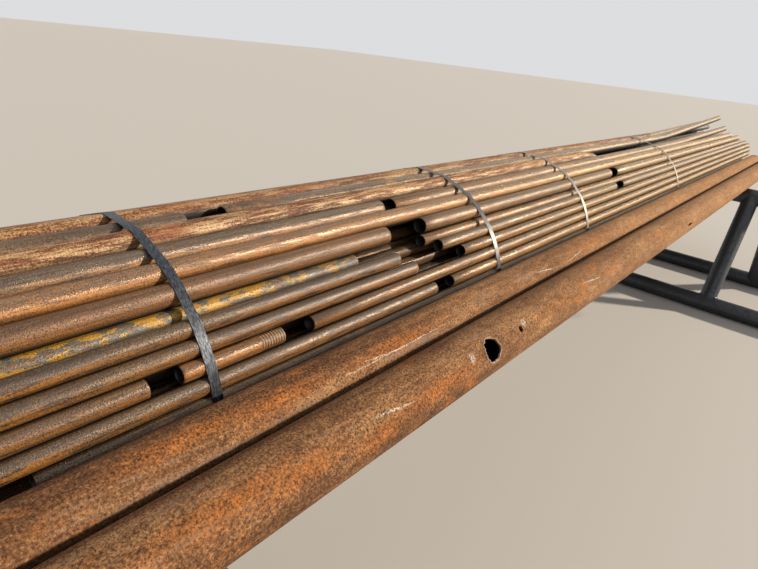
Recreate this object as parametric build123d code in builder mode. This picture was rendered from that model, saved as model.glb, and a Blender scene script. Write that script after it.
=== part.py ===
from build123d import *
import math
import os
from dataclasses import dataclass

# Strapped bundle of steel pipes with two large pipes laid beside it, on two welded pipe racks.
# Frame: X along the pipes, Y across them with the large pipes at -Y, Z up.
# Origin: on the ground, under the middle of the whole stack. All sizes in millimetres.

# Driving dimensions of the stock
mill_length = 6401.0
end_stagger = 457.0
rest_gap = 0.3
ragged_end = 150.0
front_pipe_shift = 230.0
stack_front_y = -361.6
large_diameter = 114.3
large_wall = 6.0
thick_diameter = 48.3
thick_wall = 3.7
medium_diameter = 42.2
medium_wall = 3.6
small_diameter = 31.8
small_wall = 2.8

# Driving dimensions of the strapped bundle
bundle_width = 620.0
bundle_height = 300.0
foot_gap = 12.0
core_slack = 0.8

# Sprung far ends of the upper pipes: where they start to rise, and by which angle
rise_start = 1300.0
steep_rise = 3.0
slight_rise = 1.4

# Driving dimensions of the steel straps
strap_width = 19.0
strap_thickness = 0.8
strap_stations = (-2286.0, -1332.0, -634.0, 743.0)
strap_crease_limit = 35.0

# Driving dimensions of the racks
rack_height = 770.0
rack_length = 1829.0
rack_base_spacing = 880.0
rack_tube_diameter = 101.6
rack_tube_wall = 5.7
rack_leg_inset = 454.0
rack_leg_stagger = 172.0
near_rack_inset = 857.0
far_rack_inset = 1629.0
weld_gap = 0.3

# Two straight runs of a strap whose headings differ by less than this are one run.
level_turn = 1e-5


@dataclass(frozen=True)
class PipeSize:
    diameter: float
    wall: float


@dataclass(frozen=True)
class Pipe:
    node: str
    size: PipeSize
    y: float
    z: float
    start: float
    end: float
    rise: float = 0.0


@dataclass(frozen=True)
class WallHole:
    """Hole through one wall: its place along the pipe, its turn from the top, its length and its width."""

    x: float
    turn: float
    length: float
    width: float


large = PipeSize(large_diameter, large_wall)
thick = PipeSize(thick_diameter, thick_wall)
medium = PipeSize(medium_diameter, medium_wall)
small = PipeSize(small_diameter, small_wall)

# Damage of the front large pipe: a burnt hole, a drilled hole and a slit
burnt_hole = WallHole(-1802.0, 54.0, 56.0, 34.0)
drilled_hole = WallHole(-1675.0, 50.0, 15.0, 15.0)
slit = WallHole(-110.0, 74.0, 70.0, 10.0)

half_overall = (mill_length + end_stagger) / 2
near_end = -half_overall
far_end = half_overall
long_far_end = near_end + mill_length

near_rack_x = near_end + near_rack_inset
far_rack_x = far_end - far_rack_inset

# The large pipes lie first on the racks, and then the bundle.
large_front_y = stack_front_y + large_diameter / 2
large_back_y = large_front_y + large_diameter + rest_gap
bundle_foot_y = large_back_y + large_diameter / 2 + rest_gap + foot_gap
bundle_y = bundle_foot_y + bundle_width / 2
large_z = rack_height + rest_gap + large_diameter / 2

# The core lies as deep as the thickest outer pipe, and a sunk pipe of another size rests on it too.
core_depth = thick_diameter + core_slack
medium_sink = thick_diameter - medium_diameter
small_sink = thick_diameter - small_diameter


def across(x, y=0.0, z=0.0):
    """Plane across the pipes at x, with its own x to +Y and its own y to +Z."""
    return Plane(origin=(x, y, z), x_dir=(0, 1, 0), z_dir=(1, 0, 0))


def ragged(index):
    """How far an end stands back from the longest one, spread evenly by the index."""
    return ragged_end * (0.5 + 0.5 * math.sin(2.4 * index))


def outline_centre(angle, size, sink):
    """Centre of an outer pipe: on the bundle's half ellipse, inside it by its radius and its sink."""
    inset = size.diameter / 2 + sink
    y = bundle_y - (bundle_width / 2 - inset) * math.cos(angle)
    z = rack_height + (bundle_height - inset) * math.sin(angle)
    return y, z


def foot_angle(size):
    """Angle at which a pipe of the outer layer lies on the rails."""
    radius = size.diameter / 2
    return math.asin((radius + rest_gap) / (bundle_height - radius))


def next_angle(angle, last_centre, last_size, size, sink):
    """Angle at which the next outer pipe just clears the last one."""
    reach = (last_size.diameter + size.diameter) / 2 + rest_gap
    step = 0.0005
    while math.dist(outline_centre(angle, size, sink), last_centre) < reach:
        angle += step
    return angle


# Outer layer from the foot beside the large pipes, up the front and over the crown.
# Each line: size, how far it is sunk, its lengths as start and end, and the rise of its last far end.
long_run = ((near_end + 40.0, long_far_end - 30.0),)
outer_schedule = (
    (medium, 0.0, ((near_end + 60.0, far_end - 250.0),), 0.0),
    (small, 0.0, ((-2560.0, far_end - 90.0),), 0.0),
    (small, 0.0, ((near_end + 20.0, -1640.0), (-1566.0, far_end - 60.0)), 0.0),
    (small, 0.0, ((near_end + 90.0, -2390.0), (-2334.0, -2126.0), (-2053.0, far_end - 20.0)), 0.0),
    (small, 0.0, ((near_end, -1697.0), (-1486.0, far_end)), 0.0),
    (small, 0.0, ((near_end + 110.0, -1746.0), (-1572.0, -217.0), (-130.0, far_end - 110.0)), 0.0),
    (small, small_sink, ((near_end + 30.0, -1863.0), (-1610.0, far_end - 230.0)), 0.0),
    (medium, 0.0, ((near_end + 70.0, -1737.0), (-1594.0, -185.0), (-110.0, far_end - 300.0)), 0.0),
    (medium, 0.0, long_run, 0.0),
    (medium, medium_sink, ((near_end + 25.0, -1674.0), (-1629.0, long_far_end - 120.0)), slight_rise),
    (thick, 0.0, ((near_end + 45.0, -80.0),), 0.0),
    (medium, medium_sink, ((near_end + 120.0, -2166.0), (-2075.0, long_far_end)), steep_rise),
    (thick, 0.0, ((near_end + 10.0, 1120.0),), 0.0),
    (medium, medium_sink, long_run, slight_rise),
)
outer_nodes = {small: "small_pipes_outer", medium: "medium_pipes_outer", thick: "thick_pipes_outer"}
pipes = []


def lay(node, size, y, z, runs, rise=0.0):
    """Put one place of the section down, with a pipe for each of its lengths."""
    last_end = runs[-1][1]
    for start, end in runs:
        pipes.append(Pipe(node, size, y, z, start, end, rise if end == last_end else 0.0))


# The first outer pipe lies on the rails, and each next one rests on the one before.
angle = foot_angle(medium)
centre = outline_centre(angle, medium, 0.0)
for index, (size, sink, runs, rise) in enumerate(outer_schedule):
    if index:
        angle = next_angle(angle, centre, pipes[-1].size, size, sink)
        centre = outline_centre(angle, size, sink)
    lay(outer_nodes[size], size, *centre, runs, rise)

# The back is closed down to a last pipe on the rails.
back_foot = outline_centre(math.pi - foot_angle(medium), medium, 0.0)
back_index = 0
while True:
    angle = next_angle(angle, centre, pipes[-1].size, medium, medium_sink)
    centre = outline_centre(angle, medium, medium_sink)
    if math.dist(centre, back_foot) < medium.diameter + rest_gap:
        break
    back_index += 1
    run = (near_end + ragged(back_index), far_end - ragged(back_index + 3))
    lay("medium_pipes_back", medium, *centre, (run,))
lay("medium_pipes_back", medium, *back_foot, ((near_end + ragged(0), far_end - ragged(2)),))

os.makedirs("parts", exist_ok=True)


def draw_ring(size):
    """Section of a pipe, for the sketch that is open."""
    Circle(size.diameter / 2)
    Circle(size.diameter / 2 - size.wall, mode=Mode.SUBTRACT)


# Bundled pipes, one node for each size and side
for node in sorted({pipe.node for pipe in pipes}):
    with BuildPart() as layer:
        for pipe in pipes:
            if pipe.node != node:
                continue
            stops = [(pipe.start, pipe.y, pipe.z), (pipe.end, pipe.y, pipe.z)]
            if pipe.rise:
                lift = (pipe.end - rise_start) * math.tan(math.radians(pipe.rise))
                stops = [stops[0], (rise_start, pipe.y, pipe.z), (pipe.end, pipe.y, pipe.z + lift)]
            with BuildLine() as way:
                Polyline(*stops)
            with BuildSketch(across(pipe.start, pipe.y, pipe.z)):
                draw_ring(pipe.size)
            sweep(path=way.line, transition=Transition.RIGHT)
    layer.part.label = node
    export_step(layer.part, f"parts/{node}.step")

# Hidden core of the bundle, which fills the outer layer
core_start = near_end + ragged_end
core_end = long_far_end - ragged_end
with BuildPart() as core:
    with BuildSketch(across(core_start, bundle_y, rack_height + rest_gap)):
        with BuildLine():
            half_width = bundle_width / 2 - core_depth
            rim = EllipticalCenterArc((0, 0), half_width, bundle_height - core_depth, arc_size=180)
            Line(rim @ 1, rim @ 0)
        make_face()
    extrude(amount=core_end - core_start)
core.part.label = "pipes_core"
export_step(core.part, "parts/pipes_core.step")

# Large pipes beside the bundle
large_pipes = (
    ("large_pipe_front", large_front_y, near_end + front_pipe_shift, (burnt_hole, drilled_hole, slit)),
    ("large_pipe_back", large_back_y, near_end, ()),
)
for node, y, start, holes in large_pipes:
    with BuildPart() as large_pipe:
        with BuildSketch(across(start, y, large_z)):
            draw_ring(large)
        extrude(amount=mill_length)
        for hole in holes:
            turn = math.radians(hole.turn)
            outward = (0, -math.sin(turn), math.cos(turn))
            with BuildSketch(Plane(origin=(hole.x, y, large_z), x_dir=(1, 0, 0), z_dir=outward)):
                Ellipse(hole.length / 2, hole.width / 2)
            extrude(amount=large_diameter, mode=Mode.SUBTRACT)
    large_pipe.part.label = node
    export_step(large_pipe.part, f"parts/{node}.step")


def tangent_heading(here, there):
    """Heading of the line that leaves one pipe and meets the next with both on its left."""
    span = math.dist((here.y, here.z), (there.y, there.z))
    lean = math.asin((there.size.diameter - here.size.diameter) / 2 / span)
    return (math.atan2(there.z - here.z, there.y - here.y) - lean) % math.tau


def tight_round(held):
    """The pipes that a tight band touches, each with the heading of the straight run that leaves it."""
    here = min(held, key=lambda pipe: (round(pipe.z - pipe.size.diameter / 2, 3), pipe.y))
    touched = []
    heading = 0.0

    def turn_and_span(pipe):
        turn = (tangent_heading(here, pipe) - heading + level_turn / 2) % math.tau
        return round(turn / level_turn), -math.dist((here.y, here.z), (pipe.y, pipe.z))

    while True:
        there = min((pipe for pipe in held if pipe is not here), key=turn_and_span)
        heading = tangent_heading(here, there)
        if touched and here is touched[0][0]:
            return touched
        touched.append((here, heading))
        here = there


def draw_band(touched, clearance):
    """Closed outline of a band that stands this far off the pipes it touches, creased at slight bends."""
    reaches = []
    for index, (pipe, leaving) in enumerate(touched):
        arriving = touched[index - 1][1]
        turn = (leaving - arriving) % math.tau
        radius = pipe.size.diameter / 2 + clearance
        headings = (arriving, leaving)
        if math.degrees(turn) > strap_crease_limit:
            CenterArc((pipe.y, pipe.z), radius, math.degrees(arriving) - 90, math.degrees(turn))
        else:
            headings = (arriving + turn / 2, arriving + turn / 2)
            radius /= math.cos(turn / 2)
        corners = [(math.sin(heading), -math.cos(heading)) for heading in headings]
        reaches.append([(pipe.y + radius * y, pipe.z + radius * z) for y, z in corners])
    for index, (_, leave) in enumerate(reaches):
        Line(leave, reaches[(index + 1) % len(reaches)][0])


# Straps, drawn tight round the pipes that pass them
for number, station in enumerate(strap_stations, start=1):
    touched = tight_round([pipe for pipe in pipes if pipe.start < station < pipe.end])
    with BuildPart() as strap:
        with BuildSketch(across(station - strap_width / 2)):
            with BuildLine():
                draw_band(touched, rest_gap + strap_thickness)
            make_face()
        extrude(amount=strap_width)
        with BuildSketch(across(station - strap_width / 2)):
            with BuildLine():
                draw_band(touched, rest_gap)
            make_face()
        extrude(amount=strap_width, mode=Mode.SUBTRACT)
    strap.part.label = f"strap_{number}"
    export_step(strap.part, f"parts/strap_{number}.step")

# Racks, each with a rail and two bases of open tube, and four legs that their welds close
tube_radius = rack_tube_diameter / 2
for place, rack_x in (("near", near_rack_x), ("far", far_rack_x)):
    rail_z = rack_height - tube_radius
    bars = {"rail": (rack_x, rail_z)}
    for side, shift in (("base_near", -rack_base_spacing / 2), ("base_far", rack_base_spacing / 2)):
        bars[side] = (rack_x + shift, tube_radius)
    for name, (x, z) in bars.items():
        with BuildPart() as bar:
            with BuildSketch(Plane(origin=(x, -rack_length / 2, z), x_dir=(1, 0, 0), z_dir=(0, 1, 0))):
                Circle(tube_radius)
                Circle(tube_radius - rack_tube_wall, mode=Mode.SUBTRACT)
            extrude(amount=rack_length)
        bar.part.label = f"{place}_rack_{name}"
        export_step(bar.part, f"parts/{place}_rack_{name}.step")
    leg_y = rack_length / 2 - rack_leg_inset
    for end, y_middle in (("front", -leg_y), ("back", leg_y)):
        for side, sign in (("near", -1), ("far", 1)):
            y = y_middle - sign * rack_leg_stagger / 2
            foot = Vector(rack_x + sign * rack_base_spacing / 2, y, tube_radius)
            head = Vector(rack_x, y, rail_z)
            with BuildPart() as leg:
                with BuildSketch(Plane(origin=foot, x_dir=(0, 1, 0), z_dir=head - foot)):
                    Circle(tube_radius)
                extrude(amount=(head - foot).length)
                for joint in (head, foot):
                    beside = (joint.X, y - rack_tube_diameter, joint.Z)
                    with BuildSketch(Plane(origin=beside, x_dir=(1, 0, 0), z_dir=(0, 1, 0))):
                        Circle(tube_radius + weld_gap)
                    extrude(amount=2 * rack_tube_diameter, mode=Mode.SUBTRACT)
            leg.part.label = f"{place}_rack_leg_{end}_{side}"
            export_step(leg.part, f"parts/{place}_rack_leg_{end}_{side}.step")
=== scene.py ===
import logging
import math
import random
from dataclasses import dataclass, field, replace
from enum import Enum
from typing import ClassVar

import bmesh
import bpy
from mathutils import Matrix, Vector


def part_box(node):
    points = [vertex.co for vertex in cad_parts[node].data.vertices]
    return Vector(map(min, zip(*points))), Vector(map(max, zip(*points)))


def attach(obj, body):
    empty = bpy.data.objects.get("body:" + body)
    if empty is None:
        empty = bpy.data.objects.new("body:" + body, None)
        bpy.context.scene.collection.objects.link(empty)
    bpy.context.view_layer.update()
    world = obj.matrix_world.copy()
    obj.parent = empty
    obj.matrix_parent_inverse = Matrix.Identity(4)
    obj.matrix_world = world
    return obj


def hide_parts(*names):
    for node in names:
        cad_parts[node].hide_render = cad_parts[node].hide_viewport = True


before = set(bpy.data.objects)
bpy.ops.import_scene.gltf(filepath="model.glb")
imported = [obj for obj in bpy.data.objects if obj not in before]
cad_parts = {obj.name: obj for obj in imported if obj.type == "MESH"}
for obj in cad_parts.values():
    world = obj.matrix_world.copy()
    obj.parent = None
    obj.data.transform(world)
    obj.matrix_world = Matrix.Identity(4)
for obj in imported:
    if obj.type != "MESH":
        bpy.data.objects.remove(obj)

log = logging.getLogger("pipe_stack")
MM = 0.001
SKIN_MAP = "skin"
SAME_CORNER = 0.01 * MM
SHARP_TURN = math.radians(32)
Object, Material, Socket = bpy.types.Object, bpy.types.Material, bpy.types.NodeSocket


def rgba(hex_colour: str) -> tuple[float, float, float, float]:
    """Turn an sRGB hex colour into linear red, green, blue and alpha.

    Args:
        hex_colour: Six hex digits after a hash sign.

    Returns:
        The four linear values.
    """
    values = [int(hex_colour[i : i + 2], 16) / 255 for i in (1, 3, 5)]
    linear = [v / 12.92 if v <= 0.04045 else ((v + 0.055) / 1.055) ** 2.4 for v in values]
    return (*linear, 1.0)


@dataclass
class Wiring:
    """A node tree that is being wired, and the outputs in it that have been given names."""

    tree: bpy.types.NodeTree
    known: dict[str, Socket] = field(default_factory=dict)

    def connect(self, node: bpy.types.Node, inputs: dict) -> None:
        """Link or set a node's inputs.

        Args:
            node: The node.
            inputs: By an input's name or number: a socket, the name of a known one, or a value.
        """
        for key, value in inputs.items():
            if isinstance(value, str):
                value = self.known.get(value, value)
            if isinstance(value, Socket):
                self.tree.links.new(value, node.inputs[key])
            else:
                node.inputs[key].default_value = value

    def add(self, kind: str, *terms, out: int | str = 0, **settings) -> Socket | None:
        """Add one node with its settings and links.

        Args:
            kind: The node's type, without ShaderNode before it, and after a space its operation.
            terms: What its first inputs are linked or set to, in order, or a dict for inputs by name.
            out: Name or number of the output that is wanted.
            settings: Properties of the node.

        Returns:
            The wanted output.
        """
        kind, _, operation = kind.partition(" ")
        node = self.tree.nodes.new(kind if kind.startswith(("GeometryNode", "NodeGroup")) else "ShaderNode" + kind)
        if operation:
            node.operation = operation
        for name, value in settings.items():
            setattr(node, name, value)
        for number, term in enumerate(terms):
            self.connect(node, term if isinstance(term, dict) else {number: term})
        return node.outputs[out] if node.outputs else None

    def work_out(self, *steps: tuple) -> None:
        """Add a node for each step of a formula.

        Args:
            steps: The name that the node's output gets, its kind, and its terms.
        """
        for name, kind, *terms in steps:
            self.known[name] = self.add(kind, *terms)

    def lay(self, colour: Socket | tuple, layers: tuple[tuple[Socket | str, str], ...]) -> Socket:
        """Lay colours over one another by their masks.

        Args:
            colour: The colour at the bottom.
            layers: The mask, 0 to 1, and the sRGB hex colour of each layer, from the lowest up.

        Returns:
            The colour that is seen.
        """
        for mask, top in layers:
            inputs = {"Factor": mask, "A": colour, "B": rgba(top)}
            colour = self.add("Mix", inputs, data_type="RGBA", out="Result")
        return colour


def start_material(name: str) -> tuple[Material, bpy.types.Node, Wiring]:
    """Start a material.

    Args:
        name: The finish's name.

    Returns:
        The material, its shader and its wiring.
    """
    material = bpy.data.materials.new(name)
    material.use_nodes = True
    tree = material.node_tree
    return material, tree.nodes["Principled BSDF"], Wiring(tree)


class Stock(Enum):
    """Kinds of pipe on the outside of the bundle, by the CAD node's first word."""

    THICK = "thick"
    MEDIUM = "medium"
    SMALL = "small"


@dataclass(frozen=True)
class Mark:
    """A mark on a large pipe's skin: its place along the pipe and round from the top to the front, and its size."""

    along_mm: float
    turn: float
    half_length_mm: float
    half_width_mm: float
    slant: float = 0.0


@dataclass(frozen=True)
class RustedSteel:
    """Hot-rolled black steel pipe left outdoors: brown rust over grey mill scale, streaked along the pipe.

    In its steps a MapRange stretches its term from a start and an end to a low and a high, or else to 0 and 1.
    """

    name: str
    dark: str
    middle: str
    light: str
    fresh: str
    scale_grey: str
    pit: str
    patch_mm: float = 260.0
    streak_mm: float = 16.0
    grain_mm: float = 3.0
    speck_mm: float = 4.0
    mottle_mm: float = 15.0
    flake_mm: float = 18.0
    fresh_share: float = 0.25
    scale_share: float = 0.3
    flank_share: float = 0.0
    pit_share: float = 0.8
    gloss: float = 0.5
    varied: bool = False
    speckle: float = 0.0
    contrast: float = 0.275
    spread: float = 0.18
    lines: float = 0.0
    mottle: float = 0.0
    crevice_shade: bool = False
    dirt_and_shade_inside: bool = False
    neighbour_shade: tuple[float, ...] = ()
    sunned: str = ""
    ruddy: str = ""
    pit_depth_mm: float = 0.6
    rough_low: float = 0.5
    rough_high: float = 0.85
    metal: float = 0.0
    paint: str = "#C8942C"
    primer: str = "#6C6C64"
    chalk: str = "#CDBFAF"
    blooms: tuple[Mark, ...] = ()
    chalk_lines: tuple[Mark, ...] = ()
    edge_waves: ClassVar[float] = 70.0
    # Up to this value of the grain noise no mark shows.
    no_grain: ClassVar[float] = 0.35
    # How far a share of 1 lowers the start and end of bands and of blotches
    band_reach: ClassVar[float] = 0.4
    blotch_reach: ClassVar[float] = 0.35

    def marks_mask(
        self, wiring: Wiring, marks: tuple[Mark, ...], ragged_mm: float, feather: float, full_grain: float
    ) -> Socket:
        """Mask of all marks of one kind, on the pipe's unrolled skin, broken up by the grain.

        Args:
            wiring: The material's wiring.
            marks: The marks.
            ragged_mm: How far their edges wander.
            feather: Share of a mark that fades out.
            full_grain: From what value of the grain noise on a mark is whole.

        Returns:
            The mask.
        """
        add = wiring.add
        skin = add("UVMap", uv_map=SKIN_MAP)
        wander = add("TexNoise", {"Vector": skin, "Scale": self.edge_waves, "Detail": 4.0}, out="Color")
        wander = add("VectorMath SUBTRACT", wander, (0.5, 0.5, 0.5))
        wander = add("VectorMath SCALE", wander, {"Scale": 2 * ragged_mm * MM})
        skin = add("VectorMath ADD", skin, wander)
        total = None
        for mark in marks:
            inputs = {
                "Vector": skin,
                "Location": (mark.along_mm * MM, math.radians(mark.turn) * LargePipes.radius_mm * MM, 0.0),
                "Rotation": (0.0, 0.0, math.radians(mark.slant)),
                "Scale": (mark.half_length_mm * MM, mark.half_width_mm * MM, 1.0),
            }
            reach = add("VectorMath LENGTH", add("Mapping", inputs, vector_type="TEXTURE"), out="Value")
            one = add("MapRange", reach, 1.0, 1.0 - feather)
            total = one if total is None else add("Math MAXIMUM", total, one)
        return add("Math MULTIPLY", total, add("MapRange", "grain", self.no_grain, full_grain))

    def find_patterns(self, wiring: Wiring) -> None:
        """Add the attributes and noises that masks and shades are made from.

        Args:
            wiring: The material's wiring.
        """
        add, known = wiring.add, wiring.known
        for name in ("tone", "paint", "depth", "bite", "along"):
            known[name] = add("Attribute", attribute_name=name, out="Fac")
        for name in ("ring", "outward"):
            known[name] = add("Attribute", attribute_name=name, out="Vector")
        known["place"] = add("TexCoord", out="Object")
        # Each pipe has its own stretch of the noises. Rust and scale run along it: streaks are twelve times longer than
        # wide, blotches twice, and the lines that the rolls left are far longer than any streak.
        known["own"] = add("VectorMath ADD", "place", "tone")
        for name, drawn in (("drawn", 0.08), ("half drawn", 0.45), ("rolled", 0.015)):
            known[name] = add("Mapping", {"Vector": "own", "Scale": (drawn, 1.0, 1.0)})
        # Each noise: what it reads, how many millimetres wide its cells are, its detail and its roughness
        noises = (
            ("patches", "half drawn", self.patch_mm, 4.0, 0.68),
            ("blotches", "half drawn", self.patch_mm * 0.35, 5.0, 0.74),
            ("flakes", "half drawn", self.flake_mm, 5.0, 0.66),
            ("mottling", "half drawn", self.mottle_mm, 3.0, 0.7),
            ("streaks", "drawn", self.streak_mm, 5.0, 0.72),
            ("roll lines", "rolled", self.streak_mm, 3.0, 0.6),
            ("fine lines", "rolled", self.streak_mm * 0.8, 3.0, 0.7),
            ("grain", "own", self.grain_mm, 2.0, 0.8),
            ("specks", "own", self.speck_mm, 1.0, 0.5),
        )
        for name, vector, size_mm, detail, rough in noises:
            inputs = {"Vector": vector, "Scale": 1 / (size_mm * MM), "Detail": detail, "Roughness": rough}
            known[name] = add("TexNoise", inputs)
        if self.varied:
            # One pipe in three is rusted orange almost all over.
            orange = add("MapRange", "tone", 0.62, 0.85, 0.0, 0.06)
            known["blotches"] = add("Math ADD", orange, "blotches")
        # Grains of one finish stand in the other where two meet.
        stray = add("Math MULTIPLY_ADD", "grain", self.speckle, -self.speckle / 2)
        for name in ("streaks", "blotches", "fine lines"):
            known["strewn " + name] = add("Math ADD", name, stray)

    def find_masks(self, wiring: Wiring) -> None:
        """Work out where each colour lies.

        Args:
            wiring: The material's wiring, which has the patterns.
        """
        bands, blotches = self.scale_share * self.band_reach, self.fresh_share * self.blotch_reach
        wiring.work_out(
            # Grey mill scale that the rust hasn't taken yet, in long bands
            ("scale", "MapRange", "strewn streaks", 0.62 - bands, 0.70 - bands),
            ("scaly", "MapRange", "tone", 0.0, 0.5, 0.35, 1.0),
            ("scale", "Math MULTIPLY", "scale", "scaly"),
            # Fresh orange rust in blotches
            ("fresh", "MapRange", "strewn blotches", 0.64 - blotches, 0.74 - blotches, 0.0, 0.8),
        )
        if self.flank_share:
            # Fresh rust down the flanks, where water stands between two pipes
            flanks = self.flank_share * self.band_reach
            wiring.work_out(
                ("flank", "MapRange", wiring.add("SeparateXYZ", "ring", out="Z"), 0.62, 0.26),
                ("wet", "MapRange", "strewn streaks", 0.60 - flanks, 0.68 - flanks),
                ("wet", "Math MULTIPLY", "flank", "wet"),
                ("fresh", "Math MAXIMUM", "fresh", "wet"),
            )
        if self.blooms:
            bloom = self.marks_mask(wiring, self.blooms, ragged_mm=14.0, feather=0.8, full_grain=0.6)
            wiring.work_out(("fresh", "Math MAXIMUM", "fresh", bloom))
        if self.ruddy:
            # Pipes from other batches have rusted ruddier, most of all in fine lines along them.
            wiring.work_out(
                ("batch", "Math MULTIPLY", "tone", 7.0),
                ("batch", "Math FRACT", "batch"),
                ("batch", "MapRange", "batch", 0.35, 0.75, 0.15, 1.0),
                ("ruddy", "MapRange", "strewn fine lines", 0.42, 0.58, 0.25, 0.75),
                ("ruddy", "Math MULTIPLY", "batch", "ruddy"),
            )
        if self.sunned:
            # Painted light: the far half is painted paler, for the sheen of the low sun that glances off it.
            along = wiring.add("SeparateXYZ", "place", out="X")
            wiring.work_out(("sunned", "MapRange", along, -2.0, 0.2, 0.0, 0.4))
        if self.chalk_lines:
            chalk = self.marks_mask(wiring, self.chalk_lines, ragged_mm=3.0, feather=0.5, full_grain=0.55)
            wiring.known["chalk"] = chalk
        wiring.work_out(
            # Remains of a yellow coat over grey primer on the pipes whose paint attribute is 1
            ("primer", "MapRange", "flakes", 0.40, 0.43),
            ("primer", "Math MULTIPLY", "primer", "paint"),
            ("coat", "MapRange", "flakes", 0.48, 0.51),
            ("coat", "Math MULTIPLY", "coat", "paint"),
            # Dark pits, pale rubbed specks, and dirt with painted shade in the roots of a cut thread
            ("pits", "MapRange", "specks", 0.60, 0.68),
            ("pitted", "MapRange", "patches", 0.38, 0.55),
            ("pits", "Math MULTIPLY", "pits", "pitted"),
            ("dark pits", "MapRange", "pits", 0.0, 1.0, 0.0, self.pit_share),
            ("rubbed", "MapRange", "specks", 0.36, 0.28, 0.0, 0.45),
            ("root", "MapRange", "bite", 0.9 * MM, 1.8 * MM),
        )

    def find_shade(self, wiring: Wiring) -> Socket:
        """Work out how light or dark the colour is.

        Args:
            wiring: The material's wiring, which has the patterns.

        Returns:
            What the colour is multiplied by.
        """
        add = wiring.add
        # Grain, the lines that the rolls left, pitted patches a fingertip wide, the dark bore, and the pipe's own tone
        factors = [
            ("grain", 0.3, 0.7, 1.0 - self.contrast, 1.0 + self.contrast),
            ("roll lines", 0.36, 0.64, 1.0 - self.lines, 1.0 + self.lines),
            ("mottling", 0.36, 0.64, 1.0 - self.mottle, 1.0 + self.mottle),
            ("depth", 0.0, 1.0, 1.0, 0.3),
            ("tone", 0.0, 1.0, 1.0 - self.spread, 1.0 + self.spread),
        ]
        if self.dirt_and_shade_inside:
            # Painted shade, with old dirt: all but the ends of the hidden pipes, which lie in the bundle's shade, are
            # darkened.
            from_middle = add("Math ABSOLUTE", add("Math SUBTRACT", "along", 0.5))
            factors.append((from_middle, 0.44, 0.485, 0.4, 1.0))
        if self.crevice_shade:
            # Painted shade: the colour is darkened where a pipe turns in towards its neighbours, where the crevices lie
            # in shade.
            facing = add("VectorMath DOT_PRODUCT", "ring", "outward", out="Value")
            factors.append((facing, 0.06, 0.60, 0.03, 1.0))
        for side in self.neighbour_shade:
            # The same painted shade on a large pipe, on the side where its neighbour lies
            around = add("SeparateXYZ", add("UVMap", uv_map=SKIN_MAP), out="Y")
            gap = add("Math SUBTRACT", around, math.radians(side) * LargePipes.radius_mm * MM)
            factors.append((add("Math ABSOLUTE", gap), 12 * MM, 36 * MM, 0.12, 1.0))
        shade = None
        for value, start, end, low, high in factors:
            if low != high:
                factor = add("MapRange", value, start, end, low, high)
                shade = factor if shade is None else add("Math MULTIPLY", shade, factor)
        return shade

    def make(self) -> Material:
        """Build the material.

        Returns:
            The material, which reads Object coordinates, the skin map and the attributes that the pipes carry.
        """
        material, shader, wiring = start_material(self.name)
        self.find_patterns(wiring)
        self.find_masks(wiring)
        add, known = wiring.add, wiring.known
        # The three browns of old rust, by patch, streak and grain together
        blend = add("Mix", {"Factor": 0.5, "A": "patches", "B": "streaks"}, data_type="FLOAT")
        blend = add("Mix", {"Factor": 0.3, "A": blend, "B": "grain"}, data_type="FLOAT")
        colour = add("ValToRGB", blend)
        stops = colour.node.color_ramp.elements
        stops[0].position, stops[1].position = 0.40, 0.60
        stops.new(0.5)
        for stop, brown in zip(stops, (self.dark, self.middle, self.light)):
            stop.color = rgba(brown)
        layers = (
            ("scale", self.scale_grey), ("fresh", self.fresh), ("ruddy", self.ruddy), ("sunned", self.sunned),
            ("primer", self.primer), ("coat", self.paint), ("dark pits", self.pit), ("rubbed", self.light),
            ("root", self.pit), ("chalk", self.chalk),
        )
        colour = wiring.lay(colour, tuple(layer for layer in layers if layer[0] in known))
        # Scale that no fresh rust covers is smooth. Pits go in.
        wiring.work_out(
            ("bare", "MapRange", "fresh", 0.0, 1.0, 1.0, 0.0),
            ("smooth", "Math MULTIPLY", "scale", "bare"),
            ("relief", "Math MULTIPLY_ADD", "pits", -1.0, "grain"),
        )
        wiring.connect(shader, {
            "Base Color": add("VectorMath SCALE", colour, {"Scale": self.find_shade(wiring)}),
            "Specular IOR Level": self.gloss,
            "Roughness": add("MapRange", "smooth", 0.0, 1.0, self.rough_high, self.rough_low),
            "Metallic": add("MapRange", "smooth", 0.0, 1.0, 0.0, self.metal),
            "Normal": add("Bump", {"Height": "relief", "Distance": self.pit_depth_mm * MM, "Strength": 0.9}),
        })
        return material


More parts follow.
